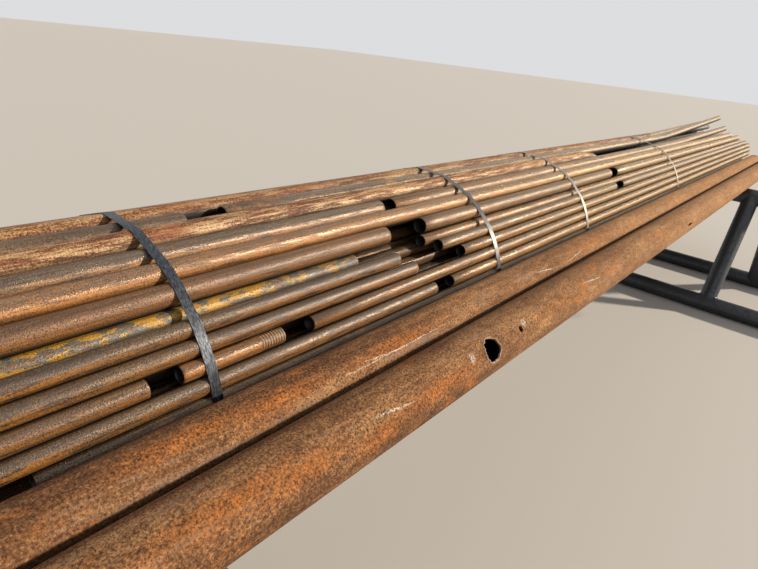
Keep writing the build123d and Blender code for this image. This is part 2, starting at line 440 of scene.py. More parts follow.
@dataclass(frozen=True)
class BluedStrap:
    """Cold-rolled strapping blued in an oven: dark grey and smooth, rubbed bright in long streaks."""

    name: str = "blued_strapping"
    blue: str = "#2C3138"
    worn: str = "#868C94"
    rust: str = "#5A4636"
    bare: str = "#B4AEA2"
    metal: float = 0.7
    rub_waves: float = 120.0
    rust_waves: float = 260.0
    rub_depth_mm: float = 0.1

    def make(self) -> Material:
        """Build the material.

        Returns:
            The material, which reads Object coordinates.
        """
        material, shader, wiring = start_material(self.name)
        add = wiring.add
        place = add("TexCoord", out="Object")
        # Rubbed streaks follow the strap round the bundle: some 2 mm wide across it, along X, and four times as long.
        across = add("Mapping", {"Vector": place, "Scale": (4.0, 1.0, 1.0)})
        inputs = {"Vector": across, "Scale": self.rub_waves, "Detail": 5.0, "Roughness": 0.7}
        wiring.work_out(
            ("streaks", "TexNoise", inputs),
            ("worn", "MapRange", "streaks", 0.44, 0.74, 0.0, 0.7),
            ("rust", "TexNoise", {"Vector": place, "Scale": self.rust_waves, "Detail": 3.0}),
            ("rust", "MapRange", "rust", 0.62, 0.72, 0.0, 0.5),
            # Painted light: the far straps are painted paler, for the sheen of the low sun that glances off them.
            ("bare", "MapRange", add("SeparateXYZ", place, out="X"), -1.6, -0.6, 0.0, 0.6),
        )
        layers = (("worn", self.worn), ("rust", self.rust), ("bare", self.bare))
        wiring.connect(shader, {
            "Base Color": wiring.lay(rgba(self.blue), layers),
            "Metallic": self.metal,
            "Roughness": add("MapRange", "rust", 0.0, 1.0, 0.38, 0.85),
            "Normal": add("Bump", {"Height": "streaks", "Distance": self.rub_depth_mm * MM, "Strength": 0.5}),
        })
        return material


@dataclass(frozen=True)
class PalePaint:
    """Matt pale floor of a studio."""

    name: str = "pale_matt_floor"
    colour: str = "#D9D6D0"
    roughness: float = 0.9

    def make(self) -> Material:
        """Build the plain floor material."""
        material, shader, wiring = start_material(self.name)
        wiring.connect(shader, {"Base Color": rgba(self.colour), "Roughness": self.roughness})
        return material


# Line pipe, evenly rusted to a warm brown: matt, mottled in grains, with orange blooms and fine dark pits
LARGE_RUST = RustedSteel(
    "rusted_line_pipe", dark="#513523", middle="#815A3C", light="#B0855A", fresh="#B06C34", scale_grey="#8C6E58",
    pit="#2A1A12", sunned="#D2A06C", patch_mm=170.0, streak_mm=40.0, grain_mm=4.0, speck_mm=3.4, fresh_share=0.18,
    scale_share=0.1, pit_share=0.75, rough_low=0.7, rough_high=0.92, gloss=0.25, speckle=0.12, contrast=0.36,
    mottle=0.2, neighbour_shade=(-90.0,),
    blooms=(
        Mark(-2426.0, 34.0, 150.0, 26.0), Mark(-2323.0, 48.0, 120.0, 26.0), Mark(-2155.0, 70.0, 90.0, 20.0),
        Mark(-1996.0, 60.0, 190.0, 22.0), Mark(-1087.0, 54.0, 90.0, 16.0), Mark(-520.0, 40.0, 160.0, 20.0),
    ),
    chalk_lines=(
        Mark(-1876.0, 46.0, 10.0, 12.0, 30.0), Mark(-1655.0, 41.0, 11.0, 10.0), Mark(-2120.0, 47.0, 60.0, 2.6, 8.0),
        Mark(-1240.0, 44.0, 70.0, 2.2, 5.0),
    ),
)
# The same pipe without a burnt hole: a long thin scratch instead
BACK_RUST = replace(
    LARGE_RUST, name="rusted_scratched_line_pipe", neighbour_shade=(-90.0, 90.0),
    blooms=(
        Mark(-2400.0, 16.0, 140.0, 22.0), Mark(-2248.0, 28.0, 130.0, 24.0), Mark(-1964.0, 34.0, 170.0, 20.0),
        Mark(-900.0, 30.0, 240.0, 18.0),
    ),
    chalk_lines=(
        Mark(-1960.0, 45.0, 195.0, 1.6), Mark(-2010.0, 42.0, 60.0, 1.4, 6.0), Mark(-1290.0, 42.0, 60.0, 2.4, 7.0),
        Mark(-1060.0, 44.0, 80.0, 2.0, -5.0),
    ),
)
# Slag round the burnt hole: paler than the rust, because rain runs off it
BURNT_RIM = replace(
    LARGE_RUST, name="burnt_rim", dark="#8A6E5C", middle="#B89C86", light="#D8C6B4", fresh="#B88C68", blooms=(),
    chalk_lines=(), neighbour_shade=(),
)
# Heavier pipe, red-brown, its worn bands rubbed pale
THICK_RUST = RustedSteel(
    "rusted_heavy_pipe", dark="#4E2C1A", middle="#8A5532", light="#C79A62", fresh="#96552A", scale_grey="#C9A878",
    pit="#2E1D14", streak_mm=8.0, grain_mm=3.2, speck_mm=3.4, fresh_share=0.22, scale_share=0.34, rough_low=0.40,
    rough_high=0.70, metal=0.2, speckle=0.2, contrast=0.42, lines=0.12, crevice_shade=True,
)
# Small tube that still carries its rolled scale: dark grey-brown and a little glossy, orange down its flanks
SMALL_SCALE = RustedSteel(
    "scaled_small_pipe", dark="#2C1F17", middle="#5F482F", light="#9C7C4A", fresh="#A06A2A", scale_grey="#6A5F52",
    pit="#241A12", sunned="#B59A5C", ruddy="#94602E", patch_mm=150.0, streak_mm=5.0, grain_mm=2.5, speck_mm=2.6,
    fresh_share=0.08, scale_share=0.44, flank_share=0.42, pit_share=0.65, pit_depth_mm=0.7, rough_low=0.21,
    rough_high=0.52, metal=0.46, gloss=0.7, varied=True, speckle=0.14, contrast=0.42, spread=0.34, lines=0.3,
    crevice_shade=True,
)
# Thread cut on a small pipe: its crests rusted yellow, its roots painted dark, as dirt and as painted shade
CUT_THREAD = replace(
    SMALL_SCALE, name="rusted_cut_thread", dark="#5A4128", middle="#B89C6C", light="#EADAB8", fresh_share=0.1,
    scale_share=0.0,
)
# The small tube that lies inside the bundle: the same rust painted darker, as old dirt and as painted shade, and darker
# still, as painted shade, all but its ends
CORE_DIRT_AND_SHADE = replace(
    SMALL_SCALE, name="sheltered_small_pipe", dark="#2A1F17", middle="#4E3C2C", light="#7C6342", fresh="#76502A",
    scale_grey="#4C433A", gloss=0.3, crevice_shade=False, dirt_and_shade_inside=True,
)
# Rack pipe, old dark scale with a thin brown bloom, rubbed smooth
RACK_STEEL = RustedSteel(
    "weathered_rack_pipe", dark="#26282B", middle="#35373B", light="#4A4946", fresh="#54443A", scale_grey="#484D54",
    pit="#1E1D1E", patch_mm=320.0, streak_mm=14.0, grain_mm=4.0, fresh_share=0.08, scale_share=0.4, pit_share=0.5,
    pit_depth_mm=0.4, rough_low=0.3, rough_high=0.52, metal=0.6,
)


def sharpen(data: bpy.types.Mesh) -> None:
    """Shade a mesh smooth, up to the edges where its faces turn sharply.

    Args:
        data: The mesh.
    """
    mesh = bmesh.new()
    mesh.from_mesh(data)
    for face in mesh.faces:
        face.smooth = True
    for edge in mesh.edges:
        edge.smooth = len(edge.link_faces) == 2 and edge.calc_face_angle(0.0) < SHARP_TURN
    mesh.to_mesh(data)
    mesh.free()


def merged(node: str) -> bmesh.types.BMesh:
    """Read a CAD node's mesh with its loose triangles joined.

    Args:
        node: The CAD node.

    Returns:
        The mesh, in the shared frame, which the caller frees.
    """
    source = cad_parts[node]
    mesh = bmesh.new()
    mesh.from_mesh(source.data)
    mesh.transform(source.matrix_world)
    bmesh.ops.remove_doubles(mesh, verts=mesh.verts, dist=SAME_CORNER)
    return mesh


def add_object(name: str, data: bpy.types.ID | None) -> Object:
    """Put a new object in the scene, at the origin.

    Args:
        name: The object's name.
        data: Its mesh, lamp or camera.

    Returns:
        The object.
    """
    made = bpy.data.objects.new(name, data)
    bpy.context.scene.collection.objects.link(made)
    return made


def dressed_copy(node: str, finish: Material) -> Object:
    """Copy a CAD node, shade it smooth up to its edges and give it a finish.

    Args:
        node: The CAD node.
        finish: The copy's material.

    Returns:
        The new piece.
    """
    name = "dressed_" + node
    data = bpy.data.meshes.new(name)
    mesh = merged(node)
    mesh.to_mesh(data)
    mesh.free()
    sharpen(data)
    data.materials.append(finish)
    return add_object(name, data)


def middle_line(node: str) -> Vector:
    """Find the point at x = 0 on the line along X through the middle of a CAD node."""
    low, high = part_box(node)
    return Vector((0.0, (low[1] + high[1]) / 2, (low[2] + high[2]) / 2))


def give(data: bpy.types.Mesh, attribute: str, values: list) -> None:
    """Give each point of a mesh an attribute.

    Args:
        data: The mesh.
        attribute: The attribute's name.
        values: A number or a vector for each point.
    """
    vector = len(values) > 0 and not isinstance(values[0], float)
    layer = data.attributes.new(attribute, "FLOAT_VECTOR" if vector else "FLOAT", "POINT")
    flat = [part for value in values for part in value] if vector else values
    layer.data.foreach_set("vector" if vector else "value", flat)


def keep_result(piece: Object, modifier: bpy.types.Modifier) -> None:
    """Make what a modifier gives the piece's own plain mesh, and remove the modifier.

    Args:
        piece: The object.
        modifier: Its only modifier.
    """
    graph = bpy.context.evaluated_depsgraph_get()
    evaluated = piece.evaluated_get(graph)
    mesh = bpy.data.meshes.new_from_object(evaluated, preserve_all_data_layers=True, depsgraph=graph)
    piece.modifiers.remove(modifier)
    piece.data = mesh
    mesh.name = piece.name


def start_nodes(name: str, inputs: dict[str, str]) -> Wiring:
    """Start a Geometry Nodes tree.

    Args:
        name: The tree's name.
        inputs: The kind of socket of each named input.

    Returns:
        The tree's wiring, which knows the inputs by their names.
    """
    tree = bpy.data.node_groups.new(name, "GeometryNodeTree")
    tree.interface.new_socket("Geometry", in_out="OUTPUT", socket_type="NodeSocketGeometry")
    for label, kind in inputs.items():
        tree.interface.new_socket(label, in_out="INPUT", socket_type="NodeSocket" + kind)
    wiring = Wiring(tree)
    given = wiring.add("NodeGroupInput").node.outputs
    wiring.known.update({label: given[label] for label in inputs})
    return wiring


def run_nodes(carrier: Object, tree: bpy.types.NodeTree, values: dict) -> None:
    """Run a Geometry Nodes tree on an object and keep what it makes.

    Args:
        carrier: The object that holds the points or lines.
        tree: The tree.
        values: The value of each named input.
    """
    modifier = carrier.modifiers.new(tree.name, "NODES")
    modifier.node_group = tree
    for item in tree.interface.items_tree:
        if item.in_out == "INPUT" and item.name in values:
            modifier[item.identifier] = values[item.name]
    keep_result(carrier, modifier)


@dataclass
class PipeRun:
    """One pipe as the CAD node holds it: its near end, section, length, and how far its far end leans up."""

    head: Vector
    radius: float
    wall: float
    length: float
    lean: float
    tone: float = 0.5
    paint: float = 0.0
    crush: float = 0.0
    outward: Vector = field(default_factory=lambda: Vector((0.0, 0.0, 1.0)))


@dataclass(frozen=True)
class PipeNote:
    """What is special about one pipe, which its node and its far end find."""

    node: str
    far_end: float
    paint: float = 0.0
    crush: float = 0.0
    threaded: bool = False


@dataclass
class RunReader:
    """Reads the pipes of a CAD node back from its mesh."""

    wall_mm: ClassVar[dict[Stock, float]] = {Stock.THICK: 3.7, Stock.MEDIUM: 3.6, Stock.SMALL: 2.8}
    rise_start: float = 1.3
    end_window_mm: float = 6.0

    def read(self, node: str) -> list[PipeRun]:
        """Find every pipe of a node.

        Args:
            node: The CAD node, whose name starts with a kind of stock.

        Returns:
            The pipes, from the lowest up.
        """
        wall = self.wall_mm[Stock(node.split("_")[0])] * MM
        mesh = merged(node)
        left = set(mesh.verts)
        runs = []
        while left:
            island, edge_of_island = set(), [next(iter(left))]
            while edge_of_island:
                vertex = edge_of_island.pop()
                if vertex in island:
                    continue
                island.add(vertex)
                edge_of_island += [e.other_vert(vertex) for e in vertex.link_edges]
            left -= island
            runs.append(self.measure([v.co.copy() for v in island], wall))
        mesh.free()
        return sorted(runs, key=lambda run: (round(run.head.z, 4), round(run.head.y, 4), run.head.x))

    def measure(self, points: list[Vector], wall: float) -> PipeRun:
        """Work out one pipe from its corners.

        Args:
            points: All corners of one pipe.
            wall: Its wall thickness in metres.

        Returns:
            The pipe.
        """
        window = self.end_window_mm * MM
        first = min(p.x for p in points)
        last = max(p.x for p in points)
        near = [p for p in points if p.x < first + window]
        far = [p for p in points if p.x > last - window]
        low_y, high_y = min(p.y for p in near), max(p.y for p in near)
        low_z, high_z = min(p.z for p in near), max(p.z for p in near)
        head = Vector((first, (low_y + high_y) / 2, (low_z + high_z) / 2))
        height = (min(p.z for p in far) + max(p.z for p in far)) / 2 - head.z
        lean = math.atan(height / (last - self.rise_start)) if height > MM else 0.0
        return PipeRun(head, (high_y - low_y) / 2, wall, last - first, lean)


@dataclass
class PipePattern:
    """The pattern that every pipe is drawn from: a tube one unit long whose corners carry where they belong."""

    sides: int = 32
    stations: int = 24
    end_shares: tuple[float, ...] = ()
    groove_mm: float = 0.0
    rim_mm: float = 0.7

    def profile(self) -> list[tuple[float, float, float, float]]:
        """Closed outline of the wall, cut along the pipe.

        Returns:
            For each corner its share of the length, its offset along it, its share of the wall, and its bite.
        """
        rim = self.rim_mm * MM
        shares = sorted({i / self.stations for i in range(1, self.stations)} | set(self.end_shares))
        outside = [(s, 0.0, 0.0, (i % 2) * self.groove_mm * MM) for i, s in enumerate(shares)]
        inside = [(s, 0.0, 1.0, 0.0) for s in reversed(shares)]
        near = [(0.0, rim, 1.0, 0.0), (0.0, 0.0, 1.0, rim), (0.0, 0.0, 0.0, rim), (0.0, rim, 0.0, 0.0)]
        far = [(1.0, -rim, 0.0, 0.0), (1.0, 0.0, 0.0, rim), (1.0, 0.0, 1.0, rim), (1.0, -rim, 1.0, 0.0)]
        return near + outside + far + inside

    def make(self) -> Object:
        """Build the pattern's mesh with its attributes.

        Returns:
            The pattern, which isn't part of the scene.
        """
        outline = self.profile()
        turns = [math.tau * side / self.sides for side in range(self.sides)]
        spokes = [(0.0, math.cos(turn), math.sin(turn)) for turn in turns]
        corners = [(share, y, z) for share, *_ in outline for _, y, z in spokes]
        faces = []
        for row in range(len(outline)):
            here, there = row * self.sides, ((row + 1) % len(outline)) * self.sides
            for side in range(self.sides):
                after = (side + 1) % self.sides
                faces.append((here + side, there + side, there + after, here + after))
        data = bpy.data.meshes.new("pipe_pattern")
        data.from_pydata(corners, [], faces)
        for column, name in enumerate(("along", "edge", "depth", "bite")):
            give(data, name, [row[column] for row in outline for _ in spokes])
        give(data, "ring", [spoke for _ in outline for spoke in spokes])
        data.shade_smooth()
        return bpy.data.objects.new("pipe_pattern", data)


@dataclass
class PipeMill:
    """Draws pipes with Geometry Nodes: one pattern on one point for each pipe, stretched and bent by formula."""

    rise_start: float = 1.3
    rise_radius: float = 9.0
    crush_mm: float = 170.0
    crushed_wider: float = 0.12
    crushed_flatter: float = 0.62
    tear_mm: float = 50.0
    tear_waves: float = 2.4
    vectors: ClassVar[tuple[str, ...]] = ("head", "outward")
    numbers: ClassVar[tuple[str, ...]] = ("length", "radius", "wall", "lean", "tone", "paint", "crush")

    def tree(self) -> bpy.types.NodeTree:
        """Build the node tree.

        Returns:
            A tree whose inputs are the points, the pattern, the bend's start and radius, and the material.
        """
        inputs = {
            "Geometry": "Geometry", "Pattern": "Object", "Rise Start": "Float", "Rise Radius": "Float",
            "Crush Length": "Float", "Finish": "Material",
        }
        wiring = start_nodes("pipes_from_pattern", inputs)
        add, known = wiring.add, wiring.known
        pattern = add("GeometryNodeObjectInfo", {"Object": "Pattern"}, out="Geometry")
        loose = add("GeometryNodeInstanceOnPoints", {"Points": "Geometry", "Instance": pattern})
        loose = add("GeometryNodeRealizeInstances", loose)
        # No name is known yet when its attribute is read, so it goes in as a plain name.
        for name in ("along", "edge", "depth", "bite", "length", "radius", "wall", "lean", "crush"):
            known[name] = add("GeometryNodeInputNamedAttribute", {"Name": name}, data_type="FLOAT")
        for name in ("ring", "head"):
            known[name] = add("GeometryNodeInputNamedAttribute", {"Name": name}, data_type="FLOAT_VECTOR")
        known["run"] = add("Math MULTIPLY_ADD", "along", "length", "edge")
        to_end = add("Math SUBTRACT", "length", "run")
        known["end nearness"] = add("MapRange", to_end, "Crush Length", 0.0, interpolation_type="SMOOTHSTEP")
        wiring.work_out(
            # A crushed end is flattened more and more over the crush length, and torn at its rim.
            ("crushed", "Math MULTIPLY", "end nearness", "crush"),
            ("tear", "TexNoise", {"Vector": "ring", "Scale": self.tear_waves, "Detail": 3.0}),
            ("tear", "Math MULTIPLY", "tear", "crushed"),
            ("run", "Math MULTIPLY_ADD", "tear", -self.tear_mm * MM, "run"),
            ("wide", "Math MULTIPLY_ADD", "crushed", self.crushed_wider, 1.0),
            ("flat", "Math MULTIPLY_ADD", "crushed", -self.crushed_flatter, 1.0),
            # Each corner's distance from the axis: the bite takes the rims' corners off, inside and out.
            ("inward", "Math MULTIPLY", "depth", "wall"),
            ("side", "Math MULTIPLY_ADD", "depth", -2.0, 1.0),
            ("inward", "Math MULTIPLY_ADD", "bite", "side", "inward"),
            ("out", "Math SUBTRACT", "radius", "inward"),
            # The far end lifts round an arc of the rise radius, centred on the rise start, and then runs straight.
            ("start", "SeparateXYZ", "head"),
            ("place", "Math ADD", "start", "run"),
            ("half lean", "Math MULTIPLY", "lean", 0.5),
            ("half slope", "Math TANGENT", "half lean"),
            ("past", "Math SUBTRACT", "place", "Rise Start"),
            ("past", "Math MULTIPLY_ADD", "half slope", "Rise Radius", "past"),
            ("past", "Math MAXIMUM", "past", 0.0),
            ("sine", "Math SINE", "lean"),
            ("slope", "Math TANGENT", "lean"),
            ("arc", "Math MULTIPLY", "sine", "Rise Radius"),
            ("on arc", "Math MINIMUM", "past", "arc"),
            ("beyond", "Math SUBTRACT", "past", "on arc"),
            ("square", "Math MULTIPLY", "on arc", "on arc"),
            ("sagitta", "Math DIVIDE", "square", "Rise Radius"),
            ("sagitta", "Math MULTIPLY", "sagitta", 0.5),
            ("lift", "Math MULTIPLY_ADD", "beyond", "slope", "sagitta"),
            # Each corner is a spoke out from the centre line.
            ("squeeze", "CombineXYZ", 1.0, "wide", "flat"),
            ("spoke", "VectorMath MULTIPLY", "ring", "squeeze"),
            ("spoke", "VectorMath SCALE", "spoke", {"Scale": "out"}),
            ("shift", "CombineXYZ", "run", 0.0, "lift"),
            ("centre", "VectorMath ADD", "head", "shift"),
            ("corner", "VectorMath ADD", "centre", "spoke"),
        )
        drawn = add("GeometryNodeSetPosition", {"Geometry": loose, "Position": "corner"})
        add("NodeGroupOutput", add("GeometryNodeSetMaterial", {"Geometry": drawn, "Material": "Finish"}))
        return wiring.tree

    def draw(self, name: str, runs: list[PipeRun], pattern: Object, finish: Material) -> Object:
        """Make one piece that holds these pipes.

        Args:
            name: The piece's name.
            runs: Its pipes.
            pattern: The pattern they are drawn from.
            finish: Their material.

        Returns:
            A plain mesh object at the origin.
        """
        points = bpy.data.meshes.new(name + "_points")
        points.from_pydata([(0.0, 0.0, 0.0)] * len(runs), [], [])
        for key in (*self.vectors, *self.numbers):
            give(points, key, [getattr(run, key) for run in runs])
        carrier = add_object(name, points)
        values = {
            "Pattern": pattern, "Rise Start": self.rise_start, "Rise Radius": self.rise_radius,
            "Crush Length": self.crush_mm * MM, "Finish": finish,
        }
        run_nodes(carrier, self.tree(), values)
        return carrier


@dataclass
class Bead:
    """A lumpy bead of weld or slag along lines, made with Geometry Nodes."""

    radius_mm: float
    lump_mm: float
    sides: int = 8
    thinnest: float = 0.5
    thickest: float = 1.25

    def tree(self) -> bpy.types.NodeTree:
        """Build the node tree.

        Returns:
            A tree whose inputs are the lines, the bead's radius, the spacing of its lumps and its material.
        """
        inputs = {"Geometry": "Geometry", "Bead Radius": "Float", "Lump Spacing": "Float", "Finish": "Material"}
        wiring = start_nodes("bead_along_line", inputs)
        add = wiring.add
        line = add("GeometryNodeMeshToCurve", {"Mesh": "Geometry"})
        wiring.work_out(
            ("waves", "Math DIVIDE", 1.0, "Lump Spacing"),
            ("lumps", "TexNoise", {"Vector": add("GeometryNodeInputPosition"), "Scale": "waves", "Detail": 2.0}),
            ("lumps", "MapRange", "lumps", 0.3, 0.7, self.thinnest, self.thickest),
            ("thick", "Math MULTIPLY", "lumps", "Bead Radius"),
        )
        section = add("GeometryNodeCurvePrimitiveCircle", {"Resolution": self.sides, "Radius": 1.0})
        bead = add("GeometryNodeCurveToMesh", {"Curve": line, "Profile Curve": section, "Scale": "thick"})
        bead = add("GeometryNodeSetShadeSmooth", {"Geometry": bead})
        bead = add("GeometryNodeRealizeInstances", bead)
        add("NodeGroupOutput", add("GeometryNodeSetMaterial", {"Geometry": bead, "Material": "Finish"}))
        return wiring.tree

    def draw(self, name: str, loops: list[list[Vector]], finish: Material) -> Object:
        """Lay the bead along closed lines.

        Args:
            name: The piece's name.
            loops: The points of each closed line.
            finish: The bead's material.

        Returns:
            A plain mesh object at the origin.
        """
        corners, edges = [], []
        for loop in loops:
            first = len(corners)
            corners += [tuple(point) for point in loop]
            edges += [(first + i, first + (i + 1) % len(loop)) for i in range(len(loop))]
        lines = bpy.data.meshes.new(name + "_lines")
        lines.from_pydata(corners, edges, [])
        carrier = add_object(name, lines)
        values = {"Bead Radius": self.radius_mm * MM, "Lump Spacing": self.lump_mm * MM, "Finish": finish}
        run_nodes(carrier, self.tree(), values)
        give(carrier.data, "tone", [0.5] * len(carrier.data.vertices))
        return carrier


@dataclass
class Bundle:
    """The strapped bundle: its outer pipes, the pipes inside, and the straps."""

    outer_nodes: tuple[str, ...] = ("small_pipes_outer", "medium_pipes_outer", "thick_pipes_outer", "medium_pipes_back")
    core_node: str = "pipes_core"
    strap_nodes: tuple[str, ...] = ("strap_1", "strap_2", "strap_3", "strap_4")
    # Stations near a far end, close enough together for the crushed end
    end_shares: tuple[float, ...] = (0.94, 0.95, 0.962, 0.97, 0.98, 0.988, 0.995)
    core_diameter_mm: float = 31.8
    core_wall_mm: float = 2.8
    core_gap_mm: float = 0.3
    core_slack_mm: float = 0.1
    # How far, in metres, a hidden pipe's near end stands out at most, and its far end at least
    core_ragged: float = 0.14
    core_sides: int = 24
    core_stations: int = 4
    thread_mm: float = 52.0
    thread_groove_mm: float = 2.2
    thread_stations: int = 17
    notes: tuple[PipeNote, ...] = (
        PipeNote("small_pipes_outer", -1.863, paint=1.0),
        PipeNote("small_pipes_outer", -2.126, threaded=True),
        PipeNote("thick_pipes_outer", -0.080, crush=1.0),
    )
    seed: int = 7
    reader: RunReader = field(default_factory=RunReader)
    mill: PipeMill = field(default_factory=PipeMill)

    def take_notes(self, node: str, run: PipeRun) -> list[PipeRun]:
        """Give a pipe what its note says, if it has one.

        Args:
            node: The CAD node that holds the pipe.
            run: The pipe, which loses the length that is threaded.

        Returns:
            Its threaded length, or nothing.
        """
        for note in self.notes:
            if note.node != node or abs(run.head.x + run.length - note.far_end) >= MM:
                continue
            run.paint, run.crush = note.paint, note.crush
            if note.threaded:
                run.length -= self.thread_mm * MM
                start = run.head + Vector((run.length, 0.0, 0.0))
                return [replace(run, head=start, length=self.thread_mm * MM)]
        return []

    def build_outer(self, finishes: dict[Stock, Material], cut: Material) -> list[Object]:
        """Draw the outer pipes in the CAD nodes' places, one with a thread cut on its far end.

        Args:
            finishes: The material of each kind of stock.
            cut: The material of the thread.

        Returns:
            One piece for each CAD node, and the thread.
        """
        pattern = PipePattern(end_shares=self.end_shares).make()
        heart = middle_line(self.core_node)
        heart.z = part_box(self.core_node)[0][2]
        chance = random.Random(self.seed)
        threads, made = [], []
        for node in self.outer_nodes:
            runs = self.reader.read(node)
            for run in runs:
                run.tone = chance.random()
                run.outward = Vector((0.0, run.head.y - heart.y, run.head.z - heart.z)).normalized()
                threads += self.take_notes(node, run)
            piece = self.mill.draw("dressed_" + node, runs, pattern, finishes[Stock(node.split("_")[0])])
            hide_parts(node)
            made.append(piece)
        # A real thread's 2.2 mm pitch is too fine to show, so it is drawn 6 mm apart.
        grooves = PipePattern(stations=self.thread_stations, groove_mm=self.thread_groove_mm).make()
        made.append(self.mill.draw("cut_thread", threads, grooves, cut))
        return made

    def core_runs(self) -> list[PipeRun]:
        """Lay hidden pipes in close rows under the outer layer.

        Returns:
            The pipes inside the bundle.
        """
        low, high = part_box(self.core_node)
        pitch = (self.core_diameter_mm + self.core_gap_mm) * MM
        radius = self.core_diameter_mm * MM / 2
        half_width, height = (high[1] - low[1]) / 2 - radius, high[2] - low[2] - radius
        middle = (high[1] + low[1]) / 2
        most = math.ceil(half_width / pitch)
        chance = random.Random(self.seed + 1)
        runs = []
        for row in range(math.ceil(height / radius)):
            z = radius + row * pitch * math.sqrt(3) / 2
            if z > height:
                break
            room = half_width * math.sqrt(1 - (z / height) ** 2)
            for step in range(-most, most + 1):
                y = (step + 0.5 * (row % 2)) * pitch
                if abs(y) > room + self.core_slack_mm * MM:
                    continue
                start = low[0] - self.core_ragged * chance.random()
                end = high[0] + self.core_ragged * (1.0 + 2.0 * chance.random())
                head = Vector((start, middle + y, low[2] + z))
                runs.append(PipeRun(head, radius, self.core_wall_mm * MM, end - start, 0.0, chance.random()))
        return runs

    def build_core(self, finish: Material) -> Object:
        """Draw the pipes inside the bundle.

        Args:
            finish: Their material.

        Returns:
            The piece that stands for the core.
        """
        pattern = PipePattern(sides=self.core_sides, stations=self.core_stations).make()
        runs = self.core_runs()
        log.info("core pipes: %d", len(runs))
        piece = self.mill.draw("dressed_core_pipes", runs, pattern, finish)
        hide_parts(self.core_node)
        return piece

    def build_straps(self, finish: Material) -> list[Object]:
        """Dress the straps.

        Args:
            finish: The strapping's material.

        Returns:
            One piece for each strap.
        """
        made = []
        for node in self.strap_nodes:
            piece = dressed_copy(node, finish)
            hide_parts(node)
            made.append(piece)
        return made


